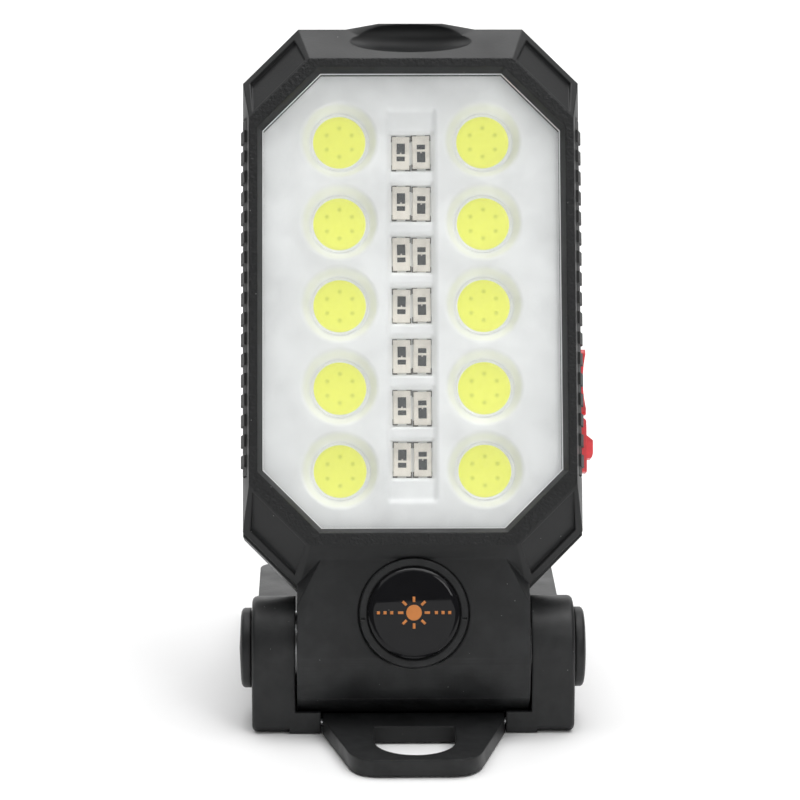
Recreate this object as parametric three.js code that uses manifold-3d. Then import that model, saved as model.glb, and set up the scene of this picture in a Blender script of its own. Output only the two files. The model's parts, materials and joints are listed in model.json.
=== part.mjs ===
// Folding rechargeable work light, in millimetres, +Z up, -Y towards the lit face.
// The lamp head turns on a friction hinge between the two ears of a magnetic base.
// Origin: the middle of the base's flat underside.
import * as THREE from 'three';
import { mergeVertices } from 'three/addons/utils/BufferGeometryUtils.js';
import { ConvexGeometry } from 'three/addons/geometries/ConvexGeometry.js';
import Module from 'manifold-3d';

const wasm = await Module();
wasm.setup();

// ---- Driving dimensions -------------------------------------------------------------

const GAP = 0.3; // clearance left between neighbouring pieces
const WALL = 1.8; // moulded wall thickness
const LEAN = THREE.MathUtils.degToRad(21); // how far the head leans back at rest

// Hinge. Head heights are measured from the hinge axis, along the head.
const AXIS_HEIGHT = 12.2; // hinge axis above the base's underside
const BARREL_RADIUS = 10.9; // neck barrel that turns between the ears
const NECK_HALF_WIDTH = 19.4;
const NECK_FRONT = -11;
const FRONT_RADIUS = 11.25; // the front casing's turn under the neck
const NECK_LOWER_EDGE = 8.9; // how far the front casing reaches below the axis
const NECK_TOP = 14.6;
const NECK_TOP_HALF_WIDTH = 15.2;
const BOLT_RADIUS = 2;
const BUSH_RADIUS = 3.6;

// Head outline: octagons given by half width, top, bottom and 45 degree corner cut.
const HEAD_MIDDLE = 57.2; // centre of the LED grid above the hinge axis
const OUTER = { halfWidth: 28.45, top: 104.6, bottom: 9.5, topCut: 9.4, bottomCut: 9.4 };
const REAR_OUTER = { ...OUTER, bottomCut: 8.8 };
const RIDGE = { halfWidth: 27.3, top: 98.5, bottom: 16.3, topCut: 10.2, bottomCut: 10.2 };
const WINDOW = { halfWidth: 25.1, top: 96.3, bottom: 19.2, topCut: 9.8, bottomCut: 9.8 };
const MOUTH_FLARE = 0.85; // how far the window opens out towards the front
const RIDGE_FRONT = -12.6; // foremost plane of the bezel
const SLOPE_REAR = -7.6; // where the bezel's sloped faces end
const PARTING = -6.2; // joint between the front and rear casings
const LOWER_BACK = 2.4; // back of the thin lower half, which folds down on the base
const UPPER_BACK = 12.2; // back of the thick upper half, which holds the cell and torch
const STEP_HEIGHT = 58; // where the thick upper half starts
const REAR_WALL = 1.6;
const NECK_SHOULDER = 6.4; // where the neck starts to narrow
const CHEEK_TOP = 10.5; // where the neck's full width runs out under the bezel
const NECK_HOLLOW = [-4, 9];
const HALF_SPAN = 40; // half the size of the blocks that trim a casing
const HEAD_ABOVE = 120; // a height clear above the head
const BEYOND = 1; // how far a cutting tool runs past the face it cuts

// Corner panels: margins and ends as shares of the corner face, depths in millimetres.
const PANEL = {
  frontMargin: 0.06,
  rearMargin: 0.12,
  frontEnd: 0.08,
  rearEnd: 0.84,
  frontDepth: 0.15,
  rearDepth: 0.6,
};

// Screws that hold the two casings together, and the bosses they run in.
const CASING_SCREWS = [
  { name: 'lower_left', x: -20.8, z: 17.4, back: LOWER_BACK },
  { name: 'lower_right', x: 20.8, z: 17.4, back: LOWER_BACK },
  { name: 'upper_left', x: -20.8, z: 97, back: UPPER_BACK },
  { name: 'upper_right', x: 20.8, z: 97, back: UPPER_BACK },
];
const SCREW_RADIUS = 0.9;
const SCREW_HEAD_RADIUS = 1.9;
const SCREW_HEAD_HEIGHT = 1.3;
const SCREW_SEAT = 0.6; // underside of the screw head, in depth
const SCREW_TIP = -8.4;
const SCREW_SLOT_LENGTH = 0.9; // half length and half width of each slot
const SCREW_SLOT_WIDTH = 0.2;
const SCREW_SLOT_DEPTH = 0.6;
const PILOT_RADIUS = 1.2;
const BOSS_RADIUS = 2.2;
const BOSS_FRONT = -8;
const BOSS_END = -2.6; // rear end of the front casing's screw bosses

// Light engine, stacked behind the window.
const LENS_FRONT = -10.6;
const LENS_THICKNESS = 1;
const LENS_MARGIN = 0.2; // side clearance of the lens, the flange and the gasket
const REFLECTOR_FRONT = -9.35;
const REFLECTOR_BACK = -6.5;
const FLANGE_BACK = -8.75; // the reflector's rim, which rests on the gasket
const GASKET_FRONT = -8.5;
const GASKET_BACK = -8.1;
const LEDGE_FRONT = -7.8;
const LEDGE_BACK = -6.8;
const LEDGE_WIDTH = 0.9;
const LED_FRONT = -7;
const LED_THICKNESS = 0.5;
const BOARD_FRONT = -6.2;
const BOARD_THICKNESS = 1.2;
const COB_RADIUS = 4.65;
const COB_HOLE_RADIUS = 5.05;
const COB_RIM_RADIUS = 6.45;
const COB_ROWS = 5;
const COB_PITCH = 14;
const COB_COLUMN = 12.15;
const SMD_COUNT = 7;
const SMD_PITCH = 8.7;
const SMD_LENGTH = 5.6;
const SMD_WIDTH = 2.95;
const CHANNEL_HALF_WIDTH = 4.35;
const CHANNEL_HALF_LENGTH = 33.6;
const CHANNEL_FLOOR = -8.3;
const POCKET_HALF_WIDTH = 3.75;
const POCKET_HALF_HEIGHT = 3.5;
const SMD_SPREAD = 1.7; // from the channel's middle to a package's middle

// Side features.
const GRIP_BOTTOM = 28.2;
const GRIP_TOP = 88.6;
const GRIP_FRONT = -10.4;
const GRIP_BACK = -6.6;
const GRIP_STAND = 0.35;
const NOTCH_PITCH = 3.44;
const NOTCH_HEIGHT = 1.4;
const SIDE_MIDDLE = -2.4; // mid-depth of the button and the charging socket
const BUTTON_MIDDLE = 44.6;
const BUTTON_LENGTH = 11.2;
const BUTTON_WIDTH = 3.4;
const BUTTON_FACE = 29.5;
const SOCKET_MIDDLE = 33.3;
const SOCKET_LENGTH = 7;
const SOCKET_HEIGHT = 2.8;
const COVER_HINGE = 37.6;
const COVER_BOTTOM = 29.2;
const COVER_BACK = 28;
const COVER_FACE = 29.5;
const COVER_TAB_FACE = 30.6;
const COVER_HALF_DEPTH = 2.3;
const COVER_KNUCKLE_RADIUS = 0.75;
const COVER_PIVOT_X = 28.75;
const CHARGE_LIGHT = { halfWidth: 5.6, bottom: 48.9, top: 51.1 }; // window in the lower back

// Torch in the top edge.
const TORCH_RADIUS = 6.5;
const TORCH_DEPTH_MIDDLE = 3.4;
const HOOD_RISE = 0.75;
const HOOD_HALF_WIDTH = 11; // at its foot
const HOOD_TOP_HALF_WIDTH = 5.4;
const HOOD_NOSE = { y: -11.4, z: 99.9 };
const SCOOP = { halfWidth: 11.6, halfLength: 3.6, depth: 2.7, y: -10.9, z: 102.65, tilt: -71 };

// Badge on the neck.
const BADGE_HEIGHT = 5.1;
const BADGE_RADIUS = 9.2;
const BADGE_STAND = 0.75;
const DOME_RADIUS = 7.65;
const DOME_EDGE = 1.1; // width of the dome's rolled edge
const DOME_RISE = 0.95;

// Base.
const EAR_INNER = 19.75;
const EAR_OUTER = 27;
const EAR_RADIUS = 8.7;
const EAR_EDGE = 0.9; // rounding of the ears' outer edges
const BASE_HALF_WIDTH = 26.8;
const BASE_WALL = 2;
const BASE_REAR = 57;
const BASE_CORNER = 3; // radius of the block's upright corners
const BASE_TOP = 9.5;
const BLOCK_FRONT = 12;
const LIP_TOP = 3.6;
const COVER_THICKNESS = 1.6;
const BASE_MIDDLE = (BASE_REAR - EAR_RADIUS) / 2;
const MAGNET_RADIUS = 9.5;
const MAGNET_THICKNESS = 4;
const MAGNET_X = 11;
const MAGNET_Y = 34.5;
const BASE_SCREWS = [
  { name: 'front_left', x: -21, y: 18.5 },
  { name: 'front_right', x: 21, y: 18.5 },
  { name: 'rear_left', x: -21, y: 50.5 },
  { name: 'rear_right', x: 21, y: 50.5 },
];
const WASHER_RADIUS = 6.2;
const WASHER_RANGE = [18.9, 20.4];
const NUT_RADIUS = 3.7; // to the corners
const CAP_RADIUS = 6.75;

// Hanging hook and its pin.
const HOOK_HALF_WIDTH = 15.2;
const HOOK_THICKNESS = 2.75;
const HOOK_SHOULDER = -9.5; // where its sides start to close in
const HOOK_TIP = -29.6;
const HOOK_CORNER = { halfWidth: 11.2, y: -24.5 }; // where the tip's rounded corners start
const HOOK_TIP_FLAT = 5.8; // half width of the straight part of the tip
const HOOK_PIN_Y = -7.2;
const HOOK_PIN_Z = 1.5;
const HOOK_PIN_RADIUS = 0.6;
const PIN_HALF_LENGTH = 17.4;
const KNUCKLE_RADIUS = 1.4;
const HOOK_HOLE_RADIUS = 6.75;
const HOOK_HOLE_MIDDLE = -20.4; // centre of the hole's rounded end
const HOOK_HOLE_REAR = -13.7; // the hole's flat end

// ---- Solids -------------------------------------------------------------------------

function solid(geometry) {
  const bare = geometry.clone();
  bare.deleteAttribute('normal');
  bare.deleteAttribute('uv');
  const merged = mergeVertices(bare);
  return new wasm.Manifold(new wasm.Mesh({
    numProp: 3,
    vertProperties: new Float32Array(merged.attributes.position.array),
    triVerts: new Uint32Array(merged.index.array),
  }));
}

function surface(body) {
  const data = body.getMesh();
  const geometry = new THREE.BufferGeometry();
  geometry.setAttribute('position', new THREE.BufferAttribute(data.vertProperties, 3));
  geometry.setIndex(new THREE.BufferAttribute(data.triVerts, 1));
  geometry.computeVertexNormals();
  return geometry;
}

function join(...bodies) {
  return bodies.reduce((sum, body) => sum.add(body));
}

function cut(body, ...tools) {
  return tools.reduce((rest, tool) => rest.subtract(tool), body);
}

function box([x0, x1], [y0, y1], [z0, z1]) {
  const geometry = new THREE.BoxGeometry(x1 - x0, y1 - y0, z1 - z0);
  geometry.translate((x0 + x1) / 2, (y0 + y1) / 2, (z0 + z1) / 2);
  return solid(geometry);
}

function rodX(radius, [x0, x1], y, z, sides = 24) {
  const geometry = new THREE.CylinderGeometry(radius, radius, x1 - x0, sides);
  geometry.rotateZ(Math.PI / 2);
  geometry.translate((x0 + x1) / 2, y, z);
  return solid(geometry);
}

// A rod or cone along Y: its radius at the front (y0) and at the back (y1).
function rodY(frontRadius, backRadius, [y0, y1], x, z, sides = 24) {
  const geometry = new THREE.CylinderGeometry(backRadius, frontRadius, y1 - y0, sides);
  geometry.translate(x, (y0 + y1) / 2, z);
  return solid(geometry);
}

function rodZ(radius, [z0, z1], x, y, sides = 24) {
  const geometry = new THREE.CylinderGeometry(radius, radius, z1 - z0, sides);
  geometry.rotateX(Math.PI / 2);
  geometry.translate(x, y, (z0 + z1) / 2);
  return solid(geometry);
}

// Extrudes an outline drawn in X and Z along Y.
function plateXZ(shape, [y0, y1], curveSegments = 12) {
  const geometry = new THREE.ExtrudeGeometry(shape, { depth: y1 - y0, bevelEnabled: false, curveSegments });
  geometry.rotateX(Math.PI / 2);
  geometry.translate(0, y1, 0);
  return solid(geometry);
}

// Extrudes an outline drawn in Y and Z along X, with both ends rounded by edge.
function plateYZ(shape, [x0, x1], curveSegments = 24, edge = 0) {
  const geometry = new THREE.ExtrudeGeometry(shape, {
    depth: x1 - x0 - 2 * edge,
    curveSegments,
    bevelEnabled: edge > 0,
    bevelThickness: edge,
    bevelSize: edge,
    bevelOffset: -edge,
    bevelSegments: 3,
  });
  geometry.translate(0, 0, edge);
  const turn = new THREE.Matrix4().makeBasis(
    new THREE.Vector3(0, 1, 0),
    new THREE.Vector3(0, 0, 1),
    new THREE.Vector3(1, 0, 0),
  );
  geometry.applyMatrix4(turn);
  geometry.translate(x0, 0, 0);
  return solid(geometry);
}

// Extrudes an outline drawn in X and Y along Z.
function plateXY(shape, [z0, z1], curveSegments = 16) {
  const geometry = new THREE.ExtrudeGeometry(shape, { depth: z1 - z0, bevelEnabled: false, curveSegments });
  geometry.translate(0, 0, z0);
  return solid(geometry);
}

function octagonPoints({ halfWidth, top, bottom, topCut, bottomCut }) {
  return [
    new THREE.Vector2(-halfWidth, bottom + bottomCut),
    new THREE.Vector2(-halfWidth + bottomCut, bottom),
    new THREE.Vector2(halfWidth - bottomCut, bottom),
    new THREE.Vector2(halfWidth, bottom + bottomCut),
    new THREE.Vector2(halfWidth, top - topCut),
    new THREE.Vector2(halfWidth - topCut, top),
    new THREE.Vector2(-halfWidth + topCut, top),
    new THREE.Vector2(-halfWidth, top - topCut),
  ];
}

function octagonInset({ halfWidth, top, bottom, topCut, bottomCut }, inset) {
  const shrink = inset * (2 - Math.SQRT2); // keeps the corner faces the same distance in
  return {
    halfWidth: halfWidth - inset,
    top: top - inset,
    bottom: bottom + inset,
    topCut: topCut - shrink,
    bottomCut: bottomCut - shrink,
  };
}

function octagonPlate(outline, [y0, y1], inset = 0) {
  return plateXZ(new THREE.Shape(octagonPoints(octagonInset(outline, inset))), [y0, y1]);
}

// The solid between a front octagon and a larger rear one.
function octagonTaper(front, frontY, rear, rearY) {
  const frontPoints = octagonPoints(front).map((point) => new THREE.Vector3(point.x, frontY, point.y));
  const rearPoints = octagonPoints(rear).map((point) => new THREE.Vector3(point.x, rearY, point.y));
  return solid(new ConvexGeometry([...frontPoints, ...rearPoints]));
}

function roundedRectangle(halfWidth, halfHeight, radius, centreX = 0, centreY = 0) {
  const shape = new THREE.Shape();
  const left = centreX - halfWidth;
  const right = centreX + halfWidth;
  const low = centreY - halfHeight;
  const high = centreY + halfHeight;
  shape.moveTo(left + radius, low);
  shape.lineTo(right - radius, low);
  shape.absarc(right - radius, low + radius, radius, -Math.PI / 2, 0, false);
  shape.lineTo(right, high - radius);
  shape.absarc(right - radius, high - radius, radius, 0, Math.PI / 2, false);
  shape.lineTo(left + radius, high);
  shape.absarc(left + radius, high - radius, radius, Math.PI / 2, Math.PI, false);
  shape.lineTo(left, low + radius);
  shape.absarc(left + radius, low + radius, radius, Math.PI, Math.PI * 1.5, false);
  return shape;
}

// ---- Materials ----------------------------------------------------------------------

const BLACK_ABS = { color: 0x1b1c1d, roughness: 0.55, metalness: 0 };
const BLACK_RUBBER = { color: 0x222223, roughness: 0.85, metalness: 0 };
const WHITE_ABS = { color: 0xf4f5f4, roughness: 0.5, metalness: 0 };
const CLEAR = { color: 0xffffff, roughness: 0.05, metalness: 0, transparent: true, opacity: 0.3 };
const PHOSPHOR = { color: 0xe8ee78, roughness: 0.45, metalness: 0 };
const LED_BODY = { color: 0xf0ead2, roughness: 0.5, metalness: 0 };
const BOARD = { color: 0xe9ebea, roughness: 0.5, metalness: 0.2 };
const GREEN_BOARD = { color: 0x1d5a36, roughness: 0.5, metalness: 0 };
const RED = { color: 0xc8202a, roughness: 0.5, metalness: 0 };
const STEEL = { color: 0xb9bcc0, roughness: 0.35, metalness: 1 };
const CHROME = { color: 0xd8dadd, roughness: 0.12, metalness: 1 };
const CELL_WRAP = { color: 0x9fb2c4, roughness: 0.45, metalness: 0.3 };
const GLOSS_BLACK = { color: 0x0b0b0c, roughness: 0.12, metalness: 0 };

function piece(group, name, material, body) {
  const mesh = new THREE.Mesh(surface(body), new THREE.MeshStandardMaterial(material));
  mesh.name = name;
  group.add(mesh);
  return mesh;
}

// ---- Head casings -------------------------------------------------------------------

// Side profile of the neck: flat in front, then round the barrel and up to the lower back.
function neckSide() {
  const flatEnd = Math.sqrt(FRONT_RADIUS ** 2 - NECK_FRONT ** 2);
  const turnStart = Math.PI + Math.asin(flatEnd / FRONT_RADIUS);
  const turnEnd = Math.PI + Math.asin(NECK_LOWER_EDGE / FRONT_RADIUS);
  const barrelStart = Math.PI + Math.asin(NECK_LOWER_EDGE / BARREL_RADIUS);
  const barrelEnd = Math.PI * 2 + Math.acos(LOWER_BACK / BARREL_RADIUS);
  const shape = new THREE.Shape();
  shape.moveTo(LOWER_BACK, NECK_TOP);
  shape.lineTo(NECK_FRONT, NECK_TOP);
  shape.lineTo(NECK_FRONT, -flatEnd);
  shape.absarc(0, 0, FRONT_RADIUS, turnStart, turnEnd, false);
  shape.absarc(0, 0, BARREL_RADIUS, barrelStart, barrelEnd, false);
  shape.lineTo(LOWER_BACK, NECK_TOP);
  return shape;
}

// Front outline of the neck: full width at the hinge, narrowing where it meets the bezel.
function neckFront() {
  const shape = new THREE.Shape();
  shape.moveTo(-NECK_HALF_WIDTH, -BARREL_RADIUS - 1);
  shape.lineTo(NECK_HALF_WIDTH, -BARREL_RADIUS - 1);
  shape.lineTo(NECK_HALF_WIDTH, NECK_SHOULDER);
  shape.lineTo(NECK_TOP_HALF_WIDTH, NECK_TOP);
  shape.lineTo(-NECK_TOP_HALF_WIDTH, NECK_TOP);
  shape.lineTo(-NECK_HALF_WIDTH, NECK_SHOULDER);
  return shape;
}

function neckBody() {
  const profile = plateYZ(neckSide(), [-NECK_HALF_WIDTH, NECK_HALF_WIDTH]);
  return profile.intersect(plateXZ(neckFront(), [-HALF_SPAN, HALF_SPAN]));
}

// Fills the corner between the neck's narrowed top and the bezel above it.
function neckCheek(side) {
  const back = PARTING - GAP;
  const wide = side * NECK_HALF_WIDTH;
  const narrow = side * NECK_TOP_HALF_WIDTH;
  return solid(new ConvexGeometry([
    new THREE.Vector3(wide, NECK_FRONT, NECK_SHOULDER),
    new THREE.Vector3(narrow, NECK_FRONT, NECK_TOP),
    new THREE.Vector3(wide, SLOPE_REAR, CHEEK_TOP),
    new THREE.Vector3(wide, back, NECK_SHOULDER),
    new THREE.Vector3(wide, back, CHEEK_TOP),
    new THREE.Vector3(narrow, back, NECK_TOP),
  ]));
}

// Sloped corner panels of the bezel, sunk into the four corner faces.
function cornerPanelTool(sideX, isTop) {
  const ridge = octagonPoints(RIDGE);
  const outer = octagonPoints(OUTER);
  const first = isTop ? 4 : 3;
  const second = isTop ? 5 : 2;
  const mirror = new THREE.Vector3(sideX, 1, 1);
  const at = (outline, index, y) => new THREE.Vector3(outline[index].x, y, outline[index].y).multiply(mirror);
  const corners = [at(ridge, first, RIDGE_FRONT), at(ridge, second, RIDGE_FRONT),
    at(outer, second, SLOPE_REAR), at(outer, first, SLOPE_REAR)];
  const blend = (start, end, share) => start.clone().lerp(end, share);
  const edge = (front, frontMate, rearMate, rear, share) => blend(
    blend(front, frontMate, PANEL.frontMargin),
    blend(rear, rearMate, PANEL.rearMargin),
    share,
  );
  const along = (share) => [
    edge(corners[0], corners[1], corners[2], corners[3], share),
    edge(corners[1], corners[0], corners[3], corners[2], share),
  ];
  const frontEdge = along(PANEL.frontEnd);
  const rearEdge = along(PANEL.rearEnd);
  const outward = new THREE.Vector3(sideX, -1.2, isTop ? 1 : -1).normalize();
  const lift = outward.clone().multiplyScalar(2);
  const shallow = outward.clone().multiplyScalar(-PANEL.frontDepth);
  const deep = outward.clone().multiplyScalar(-PANEL.rearDepth);
  const floor = [frontEdge[0].clone().add(shallow), frontEdge[1].clone().add(shallow),
    rearEdge[0].clone().add(deep), rearEdge[1].clone().add(deep)];
  const roof = [...frontEdge, ...rearEdge].map((point) => point.clone().add(lift));
  return solid(new ConvexGeometry([...floor, ...roof]));
}

// Low hood over the torch, running down the bezel's top slope.
function hoodFront() {
  const rise = OUTER.top + HOOD_RISE;
  const back = PARTING - GAP;
  const level = 1.2; // length of the hood's level roof
  const points = [-1, 1].flatMap((side) => [
    new THREE.Vector3(side * HOOD_HALF_WIDTH, SLOPE_REAR, OUTER.top),
    new THREE.Vector3(side * HOOD_TOP_HALF_WIDTH, SLOPE_REAR, rise),
    new THREE.Vector3(side * HOOD_TOP_HALF_WIDTH, SLOPE_REAR - level, rise),
    new THREE.Vector3(side * HOOD_TOP_HALF_WIDTH / 2, HOOD_NOSE.y, HOOD_NOSE.z),
    new THREE.Vector3(side * HOOD_HALF_WIDTH, back, OUTER.top - 2),
    new THREE.Vector3(side * HOOD_HALF_WIDTH, back, OUTER.top),
    new THREE.Vector3(side * HOOD_TOP_HALF_WIDTH, back, rise),
  ]);
  return solid(new ConvexGeometry(points));
}

// Shallow oval hollow in the top slope, in front of the hood.
function scoopTool() {
  const geometry = new THREE.SphereGeometry(1, 48, 24);
  geometry.scale(SCOOP.halfWidth, SCOOP.depth, SCOOP.halfLength);
  geometry.rotateX(THREE.MathUtils.degToRad(SCOOP.tilt));
  geometry.translate(0, SCOOP.y, SCOOP.z);
  return solid(geometry);
}

function gripGroove(side) {
  const inner = side * (RIDGE.halfWidth - 0.3);
  const outer = side * (OUTER.halfWidth + 2);
  const range = side < 0 ? [outer, inner] : [inner, outer];
  return box(range, [GRIP_FRONT - GAP, PARTING], [GRIP_BOTTOM - GAP, GRIP_TOP + GAP]);
}

// One rod along Y at each casing screw.
function casingPegs(radius, range, sides = 16) {
  return CASING_SCREWS.map((spot) => rodY(radius, radius, range, spot.x, spot.z, sides));
}

function makeFrontCasing(group) {
  const bezel = octagonTaper(RIDGE, RIDGE_FRONT, OUTER, SLOPE_REAR);
  const skirt = octagonPlate(OUTER, [SLOPE_REAR, PARTING - GAP]);
  const halfSpace = box([-HALF_SPAN, HALF_SPAN], [-HALF_SPAN, PARTING - GAP], [-HALF_SPAN, HALF_SPAN]);
  const neck = neckBody().intersect(halfSpace);
  const bosses = casingPegs(BOSS_RADIUS, [BOSS_FRONT, BOSS_END]);
  const mouth = octagonTaper(octagonInset(WINDOW, -MOUTH_FLARE), RIDGE_FRONT, WINDOW, LENS_FRONT + LENS_MARGIN);
  const mouthFront = octagonPlate(WINDOW, [RIDGE_FRONT - BEYOND, RIDGE_FRONT], -MOUTH_FLARE);
  const window = octagonPlate(WINDOW, [RIDGE_FRONT, LEDGE_FRONT]);
  const inside = octagonPlate(WINDOW, [LEDGE_FRONT - BEYOND, 0], LEDGE_WIDTH);
  const hollow = octagonPlate(WINDOW, [LEDGE_BACK, 0]);
  const hollowHalf = NECK_HALF_WIDTH - WALL;
  const neckHollow = box([-hollowHalf, hollowHalf], [NECK_FRONT + WALL, 0], NECK_HOLLOW);
  const seatRadius = BADGE_RADIUS + 0.1;
  const badgeSeat = rodY(seatRadius, seatRadius, [NECK_FRONT - BEYOND, NECK_FRONT + GAP], 0, BADGE_HEIGHT, 48);
  const panels = [-1, 1].flatMap((side) => [cornerPanelTool(side, true), cornerPanelTool(side, false)]);
  const pilots = casingPegs(PILOT_RADIUS, [SCREW_TIP - GAP, 0]);
  const shell = cut(
    join(bezel, skirt, hoodFront(), neck, neckCheek(-1), neckCheek(1), ...bosses),
    mouthFront, mouth, window, inside, hollow, neckHollow, badgeSeat,
    scoopTool(), gripGroove(-1), gripGroove(1), ...panels, ...pilots,
  );
  piece(group, 'front_casing', BLACK_ABS, shell);
}

function rearOuter() {
  const lower = octagonPlate(REAR_OUTER, [PARTING, LOWER_BACK]);
  const upper = octagonPlate(REAR_OUTER, [PARTING, UPPER_BACK]);
  const upperOnly = box([-HALF_SPAN, HALF_SPAN], [PARTING, UPPER_BACK], [STEP_HEIGHT, HEAD_ABOVE]);
  const hood = new THREE.Shape();
  hood.moveTo(-HOOD_HALF_WIDTH, OUTER.top - 0.5);
  hood.lineTo(HOOD_HALF_WIDTH, OUTER.top - 0.5);
  hood.lineTo(HOOD_HALF_WIDTH, OUTER.top);
  hood.lineTo(HOOD_TOP_HALF_WIDTH, OUTER.top + HOOD_RISE);
  hood.lineTo(-HOOD_TOP_HALF_WIDTH, OUTER.top + HOOD_RISE);
  hood.lineTo(-HOOD_HALF_WIDTH, OUTER.top);
  const halfSpace = box([-HALF_SPAN, HALF_SPAN], [PARTING, HALF_SPAN], [-HALF_SPAN, HALF_SPAN]);
  return join(lower, upper.intersect(upperOnly), plateXZ(hood, [PARTING, UPPER_BACK - 1.5]),
    neckBody().intersect(halfSpace));
}

function rearHollow() {
  const reach = PARTING - BEYOND;
  const low = { ...REAR_OUTER, bottom: BARREL_RADIUS + 0.6, bottomCut: OUTER.bottomCut + 0.2 };
  const lower = octagonPlate(low, [reach, LOWER_BACK - REAR_WALL], WALL);
  const upper = octagonPlate(REAR_OUTER, [reach, UPPER_BACK - REAR_WALL], WALL);
  const upperOnly = box([-HALF_SPAN, HALF_SPAN], [reach, UPPER_BACK], [STEP_HEIGHT + REAR_WALL, HEAD_ABOVE]);
  return join(lower, upper.intersect(upperOnly));
}

// The openings in the rear casing's right side, for the button, the socket and its cover.
function sideOpenings() {
  const beyond = OUTER.halfWidth + BEYOND;
  const across = (half) => [SIDE_MIDDLE - half, SIDE_MIDDLE + half];
  const along = (middle, length) => [middle - length / 2 - GAP, middle + length / 2 + GAP];
  const socketMouth = box([26, beyond], across(SOCKET_HEIGHT / 2 + 0.5), along(SOCKET_MIDDLE, SOCKET_LENGTH));
  const coverSeat = box([COVER_BACK - 0.4, beyond], across(COVER_HALF_DEPTH + GAP),
    [COVER_BOTTOM - 3 * GAP, COVER_HINGE + COVER_KNUCKLE_RADIUS + GAP]);
  const buttonHole = box([25, beyond], across(BUTTON_WIDTH / 2 + GAP), along(BUTTON_MIDDLE, BUTTON_LENGTH));
  return [socketMouth, coverSeat, buttonHole];
}

function makeRearCasing(group) {
  const tubes = CASING_SCREWS.map((spot) => rodY(BOSS_RADIUS + 1, BOSS_RADIUS + 1,
    [BOSS_END + GAP, spot.back - 0.2], spot.x, spot.z, 24));
  const seats = CASING_SCREWS.map((spot) => rodY(SCREW_HEAD_RADIUS + GAP, SCREW_HEAD_RADIUS + GAP,
    [SCREW_SEAT, spot.back + BEYOND], spot.x, spot.z, 24));
  const wells = casingPegs(BOSS_RADIUS + GAP, [BOSS_FRONT, BOSS_END + GAP], 24);
  const holes = casingPegs(PILOT_RADIUS, [BOSS_END, SCREW_SEAT + BEYOND]);
  const bore = rodX(BUSH_RADIUS + GAP, [-HALF_SPAN, HALF_SPAN], 0, 0);
  const washerSeats = washerPockets(WASHER_RANGE[0] - GAP, NECK_HALF_WIDTH + BEYOND, 0);
  const wireWay = box([-6, 6], [PARTING - BEYOND, -1], [7, 16]);
  const torchMouth = rodZ(TORCH_RADIUS + 0.6, [OUTER.top - 4, OUTER.top + 5], 0, TORCH_DEPTH_MIDDLE);
  const lightHole = box([-CHARGE_LIGHT.halfWidth, CHARGE_LIGHT.halfWidth].map((x) => x + Math.sign(x) * GAP),
    [LOWER_BACK - REAR_WALL - BEYOND, LOWER_BACK + BEYOND],
    [CHARGE_LIGHT.bottom - GAP, CHARGE_LIGHT.top + GAP]);
  const shell = cut(
    join(cut(rearOuter(), rearHollow()), ...tubes),
    ...wells, ...seats, ...holes, bore, ...washerSeats, wireWay, ...sideOpenings(),
    torchMouth, lightHole, gripGroove(-1), gripGroove(1),
  );
  piece(group, 'rear_casing', BLACK_ABS, shell);
}

// Round pockets for the two friction washers, from near to far on each side.
function washerPockets(near, far, z) {
  return [[-far, -near], [near, far]].map((range) => rodX(WASHER_RADIUS + 0.4, range, 0, z));
}

function makeCasingScrews(group) {
  for (const spot of CASING_SCREWS) {
    const under = SCREW_SEAT + GAP;
    const top = under + SCREW_HEAD_HEIGHT;
    const shank = rodY(SCREW_RADIUS, SCREW_RADIUS, [SCREW_TIP, under + 0.2], spot.x, spot.z, 12);
    const head = rodY(SCREW_HEAD_RADIUS, SCREW_HEAD_RADIUS, [under, top], spot.x, spot.z, 16);
    const slots = crossSlot().map(([wide, tall]) => box(
      [spot.x - wide, spot.x + wide], [top - SCREW_SLOT_DEPTH, top + BEYOND], [spot.z - tall, spot.z + tall]));
    piece(group, `casing_screw_${spot.name}`, STEEL, cut(join(shank, head), ...slots));
  }
}

// Half sizes of the two crossing slots in a screw head.
function crossSlot() {
  return [[SCREW_SLOT_LENGTH, SCREW_SLOT_WIDTH], [SCREW_SLOT_WIDTH, SCREW_SLOT_LENGTH]];
}

// ---- Light engine -------------------------------------------------------------------

function rowHeights(count, pitch) {
  return Array.from({ length: count }, (_, row) => HEAD_MIDDLE + (row - (count - 1) / 2) * pitch);
}

const COB_SPOTS = rowHeights(COB_ROWS, COB_PITCH).flatMap((z, row) => [
  { name: `cob_led_left_${row + 1}`, x: -COB_COLUMN, z },
  { name: `cob_led_right_${row + 1}`, x: COB_COLUMN, z },
]);
const SMD_HEIGHTS = rowHeights(SMD_COUNT, SMD_PITCH);

function makeLens(group) {
  const plate = octagonPlate(WINDOW, [LENS_FRONT, LENS_FRONT + LENS_THICKNESS], LENS_MARGIN);
  piece(group, 'lens', CLEAR, plate);
}

// Foam ring between the reflector's rim and the ledge inside the bezel.
function makeLensGasket(group) {
  const outer = octagonPlate(WINDOW, [GASKET_FRONT, GASKET_BACK], LENS_MARGIN);
  const inner = octagonPlate(WINDOW, [GASKET_FRONT - 1, GASKET_BACK + 1], LEDGE_WIDTH);
  piece(group, 'lens_gasket', BLACK_RUBBER, cut(outer, inner));
}

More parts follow.
